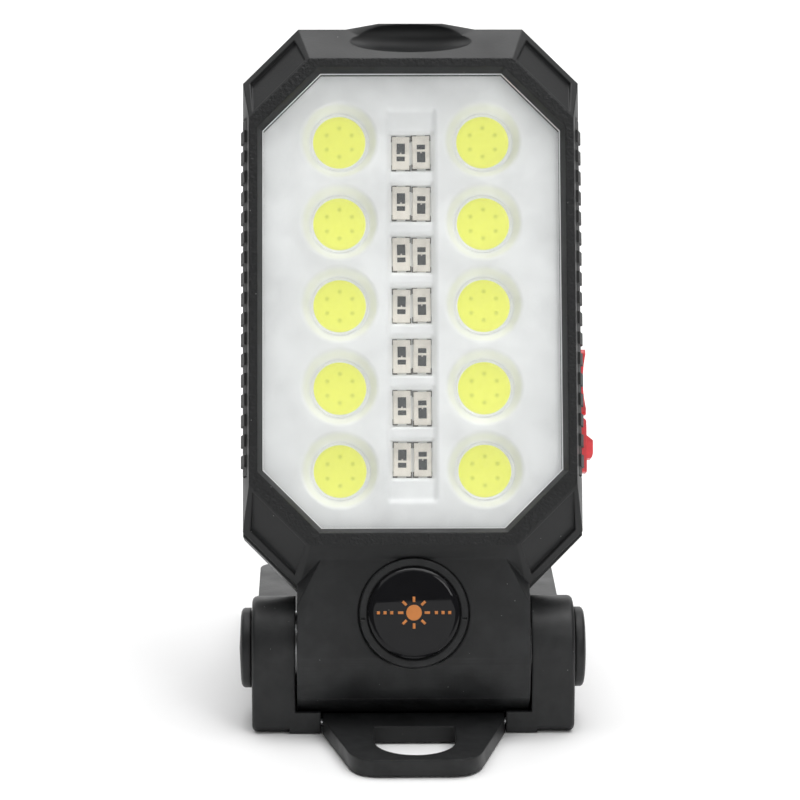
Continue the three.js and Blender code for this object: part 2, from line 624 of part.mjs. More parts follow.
function makeReflector(group) {
  const flange = octagonPlate(WINDOW, [REFLECTOR_FRONT, FLANGE_BACK], LENS_MARGIN);
  const plate = octagonPlate(WINDOW, [FLANGE_BACK - 0.1, REFLECTOR_BACK], LEDGE_WIDTH + 0.25);
  const cones = COB_SPOTS.map((spot) => rodY(COB_RIM_RADIUS, COB_HOLE_RADIUS,
    [REFLECTOR_FRONT, LED_FRONT - 0.2], spot.x, spot.z, 32));
  const holes = COB_SPOTS.map((spot) => rodY(COB_HOLE_RADIUS, COB_HOLE_RADIUS,
    [LED_FRONT - GAP, REFLECTOR_BACK + BEYOND], spot.x, spot.z, 32));
  const channel = box([-CHANNEL_HALF_WIDTH, CHANNEL_HALF_WIDTH], [REFLECTOR_FRONT - BEYOND, CHANNEL_FLOOR],
    [HEAD_MIDDLE - CHANNEL_HALF_LENGTH, HEAD_MIDDLE + CHANNEL_HALF_LENGTH]);
  const pockets = SMD_HEIGHTS.map((z) => box([-POCKET_HALF_WIDTH, POCKET_HALF_WIDTH],
    [CHANNEL_FLOOR - BEYOND, REFLECTOR_BACK + BEYOND], [z - POCKET_HALF_HEIGHT, z + POCKET_HALF_HEIGHT]));
  piece(group, 'reflector_panel', WHITE_ABS, cut(join(flange, plate), channel, ...cones, ...holes, ...pockets));
}

function makeLedBoard(group) {
  const board = octagonPlate(WINDOW, [BOARD_FRONT, BOARD_FRONT + BOARD_THICKNESS], LEDGE_WIDTH + 0.4);
  const wireHoles = [-1, 1].map((side) => rodY(1, 1, [BOARD_FRONT - 1, 0], side * 20, HEAD_MIDDLE + 7, 16));
  piece(group, 'led_board', BOARD, cut(board, ...wireHoles));
}

function makeCobLeds(group) {
  const back = LED_FRONT + LED_THICKNESS;
  for (const spot of COB_SPOTS) {
    piece(group, spot.name, PHOSPHOR, rodY(COB_RADIUS - 0.2, COB_RADIUS, [LED_FRONT, back], spot.x, spot.z));
  }
}

// Each pocket holds two packages side by side, joined by the solder pad between them.
function makeSmdPairs(group) {
  SMD_HEIGHTS.forEach((z, index) => {
    const block = (inset, depths) => [-SMD_SPREAD, SMD_SPREAD].map((middle) => box(
      [middle - SMD_WIDTH / 2 + inset, middle + SMD_WIDTH / 2 - inset], depths,
      [z - SMD_LENGTH / 2 + inset, z + SMD_LENGTH / 2 - inset]));
    const back = LED_FRONT + LED_THICKNESS;
    const pad = box([-SMD_SPREAD, SMD_SPREAD], [LED_FRONT + 0.3, back], [z - 2.4, z + 2.4]);
    const packages = block(0, [LED_FRONT - 0.3, back]);
    const wells = block(0.45, [LED_FRONT - BEYOND, LED_FRONT - 0.15]);
    piece(group, `smd_led_pair_${index + 1}`, LED_BODY, cut(join(pad, ...packages), ...wells));
  });
}

// ---- Electronics, button and charging socket ----------------------------------------

function makeElectronics(group) {
  const board = box([-24, 24.6], [-0.6, 0.4], [24, 55]);
  const parts = [
    box([-12, -6], [-1.8, -0.5], [30, 36]),
    box([0, 7], [-2.6, -0.5], [34, 41]),
    box([-20, -15], [-1.6, -0.5], [42, 50]),
  ];
  piece(group, 'driver_board', GREEN_BOARD, join(board, ...parts));
  const cell = roundedRectangle(25, 14.6, 2.5, 0, 76);
  piece(group, 'battery_cell', CELL_WRAP, plateXZ(cell, [0.2, 10.1], 4));
  const { halfWidth, bottom, top } = CHARGE_LIGHT;
  const window = box([-halfWidth, halfWidth], [LOWER_BACK - REAR_WALL, LOWER_BACK - 0.1], [bottom, top]);
  piece(group, 'charge_light_window', WHITE_ABS, window);
}

function makeSwitch(group) {
  const body = box([21.4, 24.4], [SIDE_MIDDLE - 1.5, SIDE_MIDDLE + 1.4],
    [BUTTON_MIDDLE - 3, BUTTON_MIDDLE + 3]);
  const plunger = rodX(0.9, [24.3, 25.2], SIDE_MIDDLE, BUTTON_MIDDLE, 16);
  piece(group, 'tact_switch', STEEL, join(body, plunger));
}

function makeButton(group) {
  const outline = roundedRectangle(BUTTON_WIDTH / 2, BUTTON_LENGTH / 2, 1.2, SIDE_MIDDLE, BUTTON_MIDDLE);
  const cap = cut(plateYZ(outline, [27.2, BUTTON_FACE], 3), thumbDip());
  const flangeHalf = BUTTON_WIDTH / 2 + 0.05;
  const flange = box([25.9, 26.5], [SIDE_MIDDLE - flangeHalf, SIDE_MIDDLE + flangeHalf],
    [BUTTON_MIDDLE - BUTTON_LENGTH / 2, BUTTON_MIDDLE + BUTTON_LENGTH / 2]);
  const neck = box([26.4, 27.3], [SIDE_MIDDLE - 1.4, SIDE_MIDDLE + 1.4],
    [BUTTON_MIDDLE - BUTTON_LENGTH / 2 + 0.3, BUTTON_MIDDLE + BUTTON_LENGTH / 2 - 0.3]);
  piece(group, 'power_button', RED, join(cap, neck, flange));
}

// Shallow dip that leaves the two ends of the button standing proud.
function thumbDip() {
  const dipRadius = 22;
  const dipDepth = 0.5;
  const centreX = BUTTON_FACE - dipDepth + dipRadius;
  return rodY(dipRadius, dipRadius, [SIDE_MIDDLE - 4, SIDE_MIDDLE + 4], centreX, BUTTON_MIDDLE, 96);
}

function makeSocket(group) {
  const shell = box([20.2, 27.4], [SIDE_MIDDLE - SOCKET_HEIGHT / 2, SIDE_MIDDLE + SOCKET_HEIGHT / 2],
    [SOCKET_MIDDLE - SOCKET_LENGTH / 2, SOCKET_MIDDLE + SOCKET_LENGTH / 2]);
  const mouth = box([21.4, 28], [SIDE_MIDDLE - SOCKET_HEIGHT / 2 + 0.3, SIDE_MIDDLE + SOCKET_HEIGHT / 2 - 0.3],
    [SOCKET_MIDDLE - SOCKET_LENGTH / 2 + 0.3, SOCKET_MIDDLE + SOCKET_LENGTH / 2 - 0.3]);
  const tongue = box([21, 26.4], [SIDE_MIDDLE - 0.35, SIDE_MIDDLE + 0.35],
    [SOCKET_MIDDLE - SOCKET_LENGTH / 2 + 1.2, SOCKET_MIDDLE + SOCKET_LENGTH / 2 - 1.2]);
  piece(group, 'charging_socket', STEEL, join(cut(shell, mouth), tongue));
}

function makeSocketCover(group) {
  const across = (half) => [SIDE_MIDDLE - half, SIDE_MIDDLE + half];
  const outline = roundedRectangle(COVER_HALF_DEPTH, (COVER_HINGE - COVER_BOTTOM) / 2, 0.8, SIDE_MIDDLE,
    (COVER_HINGE + COVER_BOTTOM) / 2);
  const flap = plateYZ(outline, [COVER_BACK, COVER_FACE], 5);
  const knuckle = rodY(COVER_KNUCKLE_RADIUS, COVER_KNUCKLE_RADIUS, across(COVER_HALF_DEPTH),
    COVER_PIVOT_X, COVER_HINGE, 16);
  const root = COVER_FACE - 0.4;
  const tab = new THREE.Shape();
  tab.moveTo(root, COVER_BOTTOM + 2.2);
  tab.lineTo(COVER_TAB_FACE - 0.3, COVER_BOTTOM + 2.4);
  tab.quadraticCurveTo(COVER_TAB_FACE, COVER_BOTTOM + 2.8, COVER_TAB_FACE, COVER_BOTTOM + 3.6);
  tab.lineTo(COVER_TAB_FACE, COVER_BOTTOM + 5.4);
  tab.lineTo(root, COVER_BOTTOM + 6.6);
  const fin = plateXZ(tab, across(1.8), 6);
  piece(group, 'socket_cover', RED, join(flap, knuckle, fin));
}

// ---- Grips, badge and torch ---------------------------------------------------------

function makeSideGrips(group) {
  for (const [name, side] of [['left', -1], ['right', 1]]) {
    const slope = (OUTER.halfWidth - RIDGE.halfWidth) / (SLOPE_REAR - RIDGE_FRONT);
    const surfaceAt = (y) => Math.min(OUTER.halfWidth, RIDGE.halfWidth + (y - RIDGE_FRONT) * slope);
    const outline = (stand) => {
      const shape = new THREE.Shape();
      shape.moveTo(side * RIDGE.halfWidth, GRIP_FRONT);
      shape.lineTo(side * (surfaceAt(GRIP_FRONT) + stand), GRIP_FRONT);
      shape.lineTo(side * (surfaceAt(SLOPE_REAR) + stand), SLOPE_REAR);
      shape.lineTo(side * (surfaceAt(GRIP_BACK) + stand), GRIP_BACK);
      shape.lineTo(side * RIDGE.halfWidth, GRIP_BACK);
      return shape;
    };
    const strip = plateXY(outline(0.02), [GRIP_BOTTOM, GRIP_TOP]);
    const ribs = [];
    for (let z = GRIP_BOTTOM + NOTCH_HEIGHT; z < GRIP_TOP - NOTCH_PITCH / 2; z += NOTCH_PITCH) {
      ribs.push(plateXY(outline(GRIP_STAND), [z, z + NOTCH_PITCH - NOTCH_HEIGHT]));
    }
    piece(group, `side_grip_${name}`, BLACK_RUBBER, join(strip, ...ribs));
  }
}

function makeBadge(group) {
  const front = NECK_FRONT - BADGE_STAND;
  const seatRadius = DOME_RADIUS + 0.2;
  const ring = rodY(BADGE_RADIUS - 0.2, BADGE_RADIUS, [front, NECK_FRONT + 0.1], 0, BADGE_HEIGHT, 48);
  const seat = rodY(seatRadius, seatRadius, [front - BEYOND, NECK_FRONT - 0.2], 0, BADGE_HEIGHT, 48);
  const slits = [[-8.8, -8.1], [8.1, 8.8]].map((range) => box(
    range, [front - BEYOND, front + 0.25], [BADGE_HEIGHT - 1.1, BADGE_HEIGHT - 0.8]));
  piece(group, 'badge_ring', BLACK_ABS, cut(ring, seat, ...slits));
  const foot = 0.3; // height of the dome's straight side
  const crown = 0.15; // how far its middle stands above its rolled edge
  const profile = [
    new THREE.Vector2(0, 0),
    new THREE.Vector2(DOME_RADIUS, 0),
    new THREE.Vector2(DOME_RADIUS, foot),
    ...quarterTurn(DOME_RADIUS - DOME_EDGE, DOME_EDGE, foot, DOME_RISE - crown, 4),
    new THREE.Vector2(0, foot + DOME_RISE),
  ];
  const lathe = new THREE.LatheGeometry(profile, 32);
  lathe.rotateX(Math.PI);
  lathe.translate(0, NECK_FRONT - 0.45, BADGE_HEIGHT);
  piece(group, 'badge_dome', GLOSS_BLACK, solid(lathe));
}

function makeTorch(group) {
  const top = OUTER.top + HOOD_RISE;
  piece(group, 'torch_lens', CLEAR, rodZ(TORCH_RADIUS, [top - 1.6, top - 0.3], 0, TORCH_DEPTH_MIDDLE));
  const cup = rodZ(TORCH_RADIUS, [top - 10.5, top - 1.9], 0, TORCH_DEPTH_MIDDLE);
  const throat = 1.9; // radius of the hole for the torch's chip
  const rim = TORCH_RADIUS - 0.6;
  const depth = 8;
  const profile = [new THREE.Vector2(0, -1), new THREE.Vector2(throat, -1), new THREE.Vector2(throat, 0)];
  const steps = 4;
  for (let step = 1; step <= steps; step += 1) {
    const share = step / steps;
    profile.push(new THREE.Vector2(throat + (rim - throat) * Math.sqrt(share), depth * share));
  }
  profile.push(new THREE.Vector2(rim, depth + 1.5));
  profile.push(new THREE.Vector2(0, depth + 1.5));
  const bowl = new THREE.LatheGeometry(profile, 24);
  bowl.rotateX(Math.PI / 2);
  bowl.translate(0, TORCH_DEPTH_MIDDLE, top - 9.9);
  piece(group, 'torch_reflector', CHROME, cut(cup, solid(bowl)));
  const board = rodZ(5.4, [top - 12.2, top - 11], 0, TORCH_DEPTH_MIDDLE);
  const chip = box([-1.2, 1.2], [TORCH_DEPTH_MIDDLE - 1.2, TORCH_DEPTH_MIDDLE + 1.2], [top - 11.1, top - 10.4]);
  piece(group, 'torch_led', LED_BODY, join(board, chip));
}

// ---- Base ---------------------------------------------------------------------------

function earSide() {
  const shape = new THREE.Shape();
  const turn = -0.3; // angle at which the round head runs down into the block
  const rear = BLOCK_FRONT + 3;
  shape.moveTo(-EAR_RADIUS, EAR_EDGE);
  shape.lineTo(-EAR_RADIUS + EAR_EDGE, 0);
  shape.lineTo(rear, 0);
  shape.lineTo(rear, BASE_TOP);
  shape.lineTo(EAR_RADIUS * Math.cos(turn), AXIS_HEIGHT + EAR_RADIUS * Math.sin(turn));
  shape.absarc(0, AXIS_HEIGHT, EAR_RADIUS, turn, Math.PI, false);
  return shape;
}

function makeBaseBody(group) {
  const earPair = plateYZ(earSide(), [-EAR_OUTER, EAR_OUTER], 24, EAR_EDGE);
  const between = box([-EAR_INNER, EAR_INNER], [-EAR_RADIUS - BEYOND, BLOCK_FRONT + 4],
    [-BEYOND, AXIS_HEIGHT + EAR_RADIUS + BEYOND]);
  const blockOutline = roundedRectangle(BASE_HALF_WIDTH, (BASE_REAR - BLOCK_FRONT) / 2, BASE_CORNER, 0,
    (BASE_REAR + BLOCK_FRONT) / 2);
  const block = plateXY(blockOutline, [0, BASE_TOP], 8);
  const frontFill = box([-BASE_HALF_WIDTH, BASE_HALF_WIDTH], [BLOCK_FRONT, BLOCK_FRONT + 6], [0, BASE_TOP]);
  const sill = box([-EAR_INNER - 1, EAR_INNER + 1], [-EAR_RADIUS, BLOCK_FRONT + 1], [0, LIP_TOP]);
  const trough = rodX(FRONT_RADIUS + GAP, [-EAR_INNER, EAR_INNER], 0, AXIS_HEIGHT, 48);
  const hookNotch = box([-HOOK_HALF_WIDTH - GAP, HOOK_HALF_WIDTH + GAP], [-20, -4.9], [-BEYOND, 9]);
  const pinBore = rodX(HOOK_PIN_RADIUS + 0.25, [-PIN_HALF_LENGTH - GAP, PIN_HALF_LENGTH + GAP],
    HOOK_PIN_Y, HOOK_PIN_Z, 16);
  const boltBore = rodX(BOLT_RADIUS + GAP, [-HALF_SPAN, HALF_SPAN], 0, AXIS_HEIGHT);
  const outerSeats = (radius, depth) => [[-HALF_SPAN, depth - EAR_OUTER], [EAR_OUTER - depth, HALF_SPAN]]
    .map((range) => rodX(radius, range, 0, AXIS_HEIGHT));
  const hardware = outerSeats(NUT_RADIUS + 0.6, 4);
  const capSeats = outerSeats(5.5, 1);
  const washerSeats = washerPockets(NECK_HALF_WIDTH - BEYOND, WASHER_RANGE[1] + 0.2, AXIS_HEIGHT);
  const hollow = box([-BASE_HALF_WIDTH + BASE_WALL, BASE_HALF_WIDTH - BASE_WALL],
    [BLOCK_FRONT + BASE_WALL, BASE_REAR - BASE_WALL], [-BEYOND, BASE_TOP - WALL]);
  const posts = BASE_SCREWS.map((spot) => rodZ(2.6, [COVER_THICKNESS + GAP, BASE_TOP - 1], spot.x, spot.y, 16));
  const pilots = BASE_SCREWS.map((spot) => rodZ(PILOT_RADIUS, [-BEYOND, 7], spot.x, spot.y, 16));
  const shell = cut(
    join(cut(join(cut(earPair, between), block, frontFill, sill), trough, hollow), ...posts),
    hookNotch, pinBore, boltBore, ...hardware, ...capSeats, ...washerSeats, ...pilots,
  );
  piece(group, 'base_body', BLACK_ABS, shell);
}

function makeBaseCover(group) {
  const inset = BASE_WALL + GAP;
  const plate = box([-BASE_HALF_WIDTH + inset, BASE_HALF_WIDTH - inset],
    [BLOCK_FRONT + inset, BASE_REAR - inset], [0, COVER_THICKNESS]);
  const rings = [-1, 1].map((side) => cut(
    rodZ(MAGNET_RADIUS + 1.3, [COVER_THICKNESS - 0.2, COVER_THICKNESS + 2.4], side * MAGNET_X, MAGNET_Y),
    rodZ(MAGNET_RADIUS + 0.25, [0, 6], side * MAGNET_X, MAGNET_Y)));
  const heads = BASE_SCREWS.map((spot) => rodZ(SCREW_HEAD_RADIUS + GAP, [-BEYOND, 1.05], spot.x, spot.y, 16));
  const holes = BASE_SCREWS.map((spot) => rodZ(PILOT_RADIUS, [-BEYOND, 4], spot.x, spot.y, 16));
  piece(group, 'base_cover', BLACK_ABS, cut(join(plate, ...rings), ...heads, ...holes));
}

function makeMagnets(group) {
  for (const [name, side] of [['left', -1], ['right', 1]]) {
    const low = COVER_THICKNESS + 0.2;
    piece(group, `magnet_${name}`, CHROME,
      rodZ(MAGNET_RADIUS, [low, low + MAGNET_THICKNESS], side * MAGNET_X, MAGNET_Y, 28));
  }
}

function makeBaseScrews(group) {
  for (const spot of BASE_SCREWS) {
    const head = rodZ(SCREW_HEAD_RADIUS, [0.1, 0.9], spot.x, spot.y, 16);
    const shank = rodZ(SCREW_RADIUS, [0.8, 6.5], spot.x, spot.y, 12);
    const slots = crossSlot().map(([wide, deep]) => box(
      [spot.x - wide, spot.x + wide], [spot.y - deep, spot.y + deep], [-BEYOND, 0.5]));
    piece(group, `base_screw_${spot.name}`, STEEL, cut(join(head, shank), ...slots));
  }
}

function makeHinge(group) {
  const hex = (radius, range) => rodX(radius, range, 0, AXIS_HEIGHT, 6);
  const bolt = join(rodX(BOLT_RADIUS, [-25, 25.2], 0, AXIS_HEIGHT, 24), hex(NUT_RADIUS, [-25.6, -23.2]));
  piece(group, 'hinge_bolt', STEEL, bolt);
  const nut = cut(hex(NUT_RADIUS, [23.2, 25.6]), rodX(BOLT_RADIUS + 0.15, [20, 30], 0, AXIS_HEIGHT, 24));
  piece(group, 'hinge_nut', STEEL, nut);
  for (const [name, side] of [['left', -1], ['right', 1]]) {
    const range = side < 0 ? [-WASHER_RANGE[1], -WASHER_RANGE[0]] : WASHER_RANGE;
    const hole = rodX(BOLT_RADIUS + 0.25, [-HALF_SPAN, HALF_SPAN], 0, AXIS_HEIGHT, 24);
    const washer = cut(rodX(WASHER_RADIUS, range, 0, AXIS_HEIGHT), hole);
    piece(group, `friction_washer_${name}`, STEEL, washer);
    makeHingeCap(group, name, side);
  }
}

// A round cap over the bolt's end: a spigot that sits in the ear and a cover with a rounded edge.
function makeHingeCap(group, name, side) {
  const spigot = 5.2;
  const wall = 1; // height of the cap's straight side
  const edge = 1.2; // radius of its rounded edge
  const rise = 0.7;
  const profile = [
    new THREE.Vector2(0, -1.1),
    new THREE.Vector2(spigot, -1.1),
    new THREE.Vector2(spigot, 0),
    new THREE.Vector2(CAP_RADIUS, 0),
    new THREE.Vector2(CAP_RADIUS, wall),
    ...quarterTurn(CAP_RADIUS - edge, edge, wall, rise, 3),
    new THREE.Vector2(0, wall + rise + 0.3),
  ];
  const lathe = new THREE.LatheGeometry(profile, 28);
  lathe.rotateZ(-side * Math.PI / 2);
  lathe.translate(side * (EAR_OUTER + 0.2), 0, AXIS_HEIGHT);
  piece(group, `hinge_cap_${name}`, BLACK_ABS, solid(lathe));
}

// Points that round a lathed edge: from (radius + edge, foot) in to (radius, foot + rise).
function quarterTurn(radius, edge, foot, rise, steps) {
  return Array.from({ length: steps }, (_, index) => {
    const angle = (index + 1) / steps * Math.PI / 2;
    return new THREE.Vector2(radius + edge * Math.cos(angle), foot + rise * Math.sin(angle));
  });
}

// The tube that lines the neck's bore and turns on the bolt.
function makeHingeBush(group) {
  const tube = cut(rodX(BUSH_RADIUS, [-18.5, 18.5], 0, 0), rodX(BOLT_RADIUS + GAP, [-20, 20], 0, 0, 24));
  piece(group, 'hinge_bush', STEEL, tube);
}

// Half of the hook's outline is given, from its shoulder to its tip, and mirrored.
function hookOutline() {
  const outline = new THREE.Shape();
  outline.moveTo(HOOK_HALF_WIDTH, HOOK_PIN_Y);
  outline.lineTo(-HOOK_HALF_WIDTH, HOOK_PIN_Y);
  outline.lineTo(-HOOK_HALF_WIDTH, HOOK_SHOULDER);
  outline.lineTo(-HOOK_CORNER.halfWidth, HOOK_CORNER.y);
  const bend = HOOK_CORNER.halfWidth - 1.1;
  outline.quadraticCurveTo(-bend, HOOK_TIP, -HOOK_TIP_FLAT, HOOK_TIP);
  outline.lineTo(HOOK_TIP_FLAT, HOOK_TIP);
  outline.quadraticCurveTo(bend, HOOK_TIP, HOOK_CORNER.halfWidth, HOOK_CORNER.y);
  outline.lineTo(HOOK_HALF_WIDTH, HOOK_SHOULDER);
  const hole = new THREE.Path();
  hole.moveTo(HOOK_HOLE_RADIUS, HOOK_HOLE_REAR);
  hole.lineTo(-HOOK_HOLE_RADIUS, HOOK_HOLE_REAR);
  hole.lineTo(-HOOK_HOLE_RADIUS, HOOK_HOLE_MIDDLE);
  hole.absarc(0, HOOK_HOLE_MIDDLE, HOOK_HOLE_RADIUS, Math.PI, Math.PI * 2, false);
  hole.closePath();
  outline.holes.push(hole);
  return outline;
}

function makeHook(group) {
  const low = HOOK_PIN_Z - HOOK_THICKNESS / 2;
  const plate = plateXY(hookOutline(), [low, low + HOOK_THICKNESS], 12);
  const knuckle = rodX(KNUCKLE_RADIUS, [-HOOK_HALF_WIDTH, HOOK_HALF_WIDTH], HOOK_PIN_Y, HOOK_PIN_Z, 20);
  const bore = rodX(HOOK_PIN_RADIUS + 0.15, [-HALF_SPAN, HALF_SPAN], HOOK_PIN_Y, HOOK_PIN_Z, 16);
  piece(group, 'hanging_hook', BLACK_ABS, cut(join(plate, knuckle), bore));
  const pin = rodX(HOOK_PIN_RADIUS, [-PIN_HALF_LENGTH, PIN_HALF_LENGTH], HOOK_PIN_Y, HOOK_PIN_Z, 12);
  piece(group, 'hook_pin', STEEL, pin);
}

// ---- Assembly -----------------------------------------------------------------------

const light = new THREE.Group();
const base = new THREE.Group();
base.position.y = -BASE_MIDDLE;
light.add(base);
makeBaseBody(base);
makeBaseCover(base);
makeMagnets(base);
makeBaseScrews(base);
makeHinge(base);
makeHook(base);

const head = new THREE.Group();
head.position.z = AXIS_HEIGHT;
head.rotation.x = -LEAN;
base.add(head);
makeFrontCasing(head);
makeRearCasing(head);
makeCasingScrews(head);
makeHingeBush(head);
makeLens(head);
makeLensGasket(head);
makeReflector(head);
makeLedBoard(head);
makeCobLeds(head);
makeSmdPairs(head);
makeElectronics(head);
makeSwitch(head);
makeButton(head);
makeSocket(head);
makeSocketCover(head);
makeSideGrips(head);
makeBadge(head);
makeTorch(head);

export default light;
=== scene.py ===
"""Folding work light: the looks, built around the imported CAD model. Lengths are in millimetres."""

import json
import math

import bpy
from mathutils import Euler, Matrix, Vector


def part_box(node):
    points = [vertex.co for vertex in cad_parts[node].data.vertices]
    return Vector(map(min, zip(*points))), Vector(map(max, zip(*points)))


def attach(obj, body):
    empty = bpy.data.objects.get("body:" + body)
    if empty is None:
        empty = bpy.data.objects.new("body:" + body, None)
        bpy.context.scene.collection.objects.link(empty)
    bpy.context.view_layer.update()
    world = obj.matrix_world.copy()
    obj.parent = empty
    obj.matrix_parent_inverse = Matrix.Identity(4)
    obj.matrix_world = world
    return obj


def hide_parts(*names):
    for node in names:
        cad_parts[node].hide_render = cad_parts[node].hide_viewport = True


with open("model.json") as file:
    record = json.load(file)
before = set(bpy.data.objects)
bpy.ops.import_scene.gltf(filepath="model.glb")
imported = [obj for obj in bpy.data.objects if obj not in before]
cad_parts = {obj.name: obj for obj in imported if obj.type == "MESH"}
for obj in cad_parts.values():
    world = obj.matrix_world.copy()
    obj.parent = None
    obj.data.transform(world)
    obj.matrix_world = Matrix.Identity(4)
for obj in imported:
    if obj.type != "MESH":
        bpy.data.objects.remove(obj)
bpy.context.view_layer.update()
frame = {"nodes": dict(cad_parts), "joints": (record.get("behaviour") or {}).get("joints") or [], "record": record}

# ---- Dimensions, in the lamp head's frame: x right, y back, z up along the head --------------

MM = 0.001
BEZEL_FRONT = -12.6  # foremost plane of the bezel, which carries the coarser grain
LED_FRONT = -7.0
GEL_RADIUS = 4.65
GEL_BACK = 0.45  # how far a gel and its dam reach behind the emitter's front
DAM_INNER_RADIUS = 4.6
DAM_RADIUS = 5.03  # outer radius of the white dam around each gel disc
CHIP_RING = 2.45  # radius of the ring of six chips under the gel
CHIP_RADIUS = 0.5
GEL_PAINTED_GLOW = 0.12  # painted glow: light given out by the yellow gel, though it is unlit
PACKAGE_WIDTH = 2.95
PACKAGE_HEIGHT = 5.6
PACKAGE_DEPTH = 0.7
PACKAGE_SPREAD = 1.72  # from the channel's middle to a package's middle
WINDOW_HALF = 0.7  # half width of a package's two windows
WINDOW_TOP = 1.7
WINDOW_BOTTOM = -1.35
BAR_TOP = -0.13  # the bar between the two windows
BAR_BOTTOM = -0.52
BOND_HALF = 0.11  # half width of the small bond that stands on the bar
BOND_HEIGHT = 0.25
CHIP_SINK = 0.15  # how far the chips lie behind a package's front
SOLDER_WIDTH = 0.19
SOLDER_SINK = 0.3
SOLDER_ENDS = (0.75, 1.5)  # where it shows past a package's ends, from the package's middle
SOLDER_SIDES = 2.0  # height from which it shows beside a package
CUP_RIM_RADIUS = 6.5
CUP_DEPTH = 2.3
CHANNEL_HALF = (4.35, 33.6)  # half width and half height of the channel between the cups
CHANNEL_DEPTH = 1.0
POCKET_HALF = (3.75, 3.5)
POCKET_DEPTH = 1.6
GRID_STEP = 0.36
OPENING_HALF = 25.1  # the bezel's opening where the lens lies in it: half width, heights, corner cut
OPENING_HEIGHTS = (19.2, 96.3)
OPENING_CUT = 9.8
LENS_HIGHLIGHT_WIDTH = 0.2  # width of the white strip painted as a bright highlight at the edge of the lens
DOME_FRONT = -12.7  # foremost point of the badge dome
BADGE_HEIGHT = 5.1
PRINT_DEPTH = (-0.03, 0.1)  # front and back of the badge's print, which sinks into the dome
SUN_RADIUS = 1.3
RAY_HALF = 0.22  # half width of a ray
RAY_REACH = (1.75, 2.65)
RAYS = 8
DOT_HALF = 0.26
DOTS = 3  # in each row
DOT_FIRST = 3.7
DOT_STEP = 1.1


def centre(node):
    low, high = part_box(node)
    return (low + high) / 2


def head_frame():
    """Places the lamp head's frame: its origin is on the hinge axis."""
    origin = Vector(next(j for j in frame["joints"] if j["name"] == "head_tilt")["pos_m"])
    up = (centre("cob_led_left_5") - centre("cob_led_left_1")).normalized()
    right = Vector((1, 0, 0))
    back = up.cross(right)
    turn = Matrix((right, back, up)).transposed().to_4x4()
    return Matrix.Translation(origin) @ turn


HEAD = head_frame()


def head_place(x, y, z):
    """The matrix that puts a piece at a point of the head, square to the head."""
    return HEAD @ Matrix.Translation(Vector((x, y, z)) * MM)


def in_head(point):
    """A point of the row frame, in the head's frame and in millimetres."""
    return (HEAD.inverted() @ point) / MM


# ---- Camera, lights, backdrop ----------------------------------------------------------------

CAMERA_PLACE = (-0.0127, -0.57359, 0.1965)  # metres, as are the lights' places and sizes
CAMERA_TURN = (75.587, -0.108, -1.067)  # degrees
CAMERA_LENS = 154
SENSOR = 36
WORLD_FRONT = (-0.3, 0.52)  # where the ramp starts along Y, and the strength there
WORLD_BACK = (0.6, 1.4)


def make_camera():
    data = bpy.data.cameras.new("camera")
    data.sensor_width = SENSOR
    data.lens = CAMERA_LENS
    data.clip_start = 0.01
    camera = bpy.data.objects.new("camera", data)
    camera.location = CAMERA_PLACE
    camera.rotation_euler = Euler([math.radians(angle) for angle in CAMERA_TURN])
    bpy.context.scene.collection.objects.link(camera)
    bpy.context.scene.camera = camera


def area_light(name, place, aim, size, power):
    data = bpy.data.lights.new(name, "AREA")
    data.shape = "RECTANGLE"
    data.size, data.size_y = size
    data.energy = power
    light = bpy.data.objects.new(name, data)
    light.location = place
    light.rotation_euler = (Vector(aim) - Vector(place)).to_track_quat("-Z", "Y").to_euler()
    bpy.context.scene.collection.objects.link(light)


def make_lights():
    area_light("ceiling", (0, 0.6, 1.6), (0, 0.6, 0), (3.2, 3.0), 36)
    area_light("overhead", (0.1, 0.15, 0.95), (0, 0, 0.06), (0.8, 0.6), 5)
    area_light("key", (0.55, -0.75, 0.85), (0, 0, 0.05), (0.35, 0.4), 2.1)
    area_light("front", (0.1, -1.2, 0.3), (0, 0, 0.06), (1.2, 0.6), 2.8)
    area_light("rear", (0, 1.5, 0.5), (0, 0, 0.03), (2.2, 0.7), 9)


def make_world():
    """Soft surroundings, darker in front of the light than behind it."""
    world = bpy.data.worlds.new("studio")
    world.use_nodes = True
    nodes = world.node_tree.nodes
    links = world.node_tree.links
    coordinates = nodes.new("ShaderNodeTexCoord")
    split = nodes.new("ShaderNodeSeparateXYZ")
    ramp = nodes.new("ShaderNodeMapRange")
    ramp.inputs["From Min"].default_value, ramp.inputs["To Min"].default_value = WORLD_FRONT
    ramp.inputs["From Max"].default_value, ramp.inputs["To Max"].default_value = WORLD_BACK
    links.new(coordinates.outputs["Generated"], split.inputs[0])
    links.new(split.outputs["Y"], ramp.inputs["Value"])
    links.new(ramp.outputs["Result"], nodes["Background"].inputs["Strength"])
    bpy.context.scene.world = world
    bpy.context.scene.view_settings.view_transform = "Standard"


# ---- Materials -------------------------------------------------------------------------------

NOISE_RANGE = (0.3, 0.7)  # most noise values lie in here
NOISE_CORE = (0.35, 0.65)  # about half of them do
CONVEX_EDGE = (0.53, 0.6)  # pointiness where an edge starts to count, and where it counts in full
SPECK_SPACING = 2.2
SPECK_RADIUS = 0.07
SPECK_GREY = (0.35, 0.35, 0.34, 1)


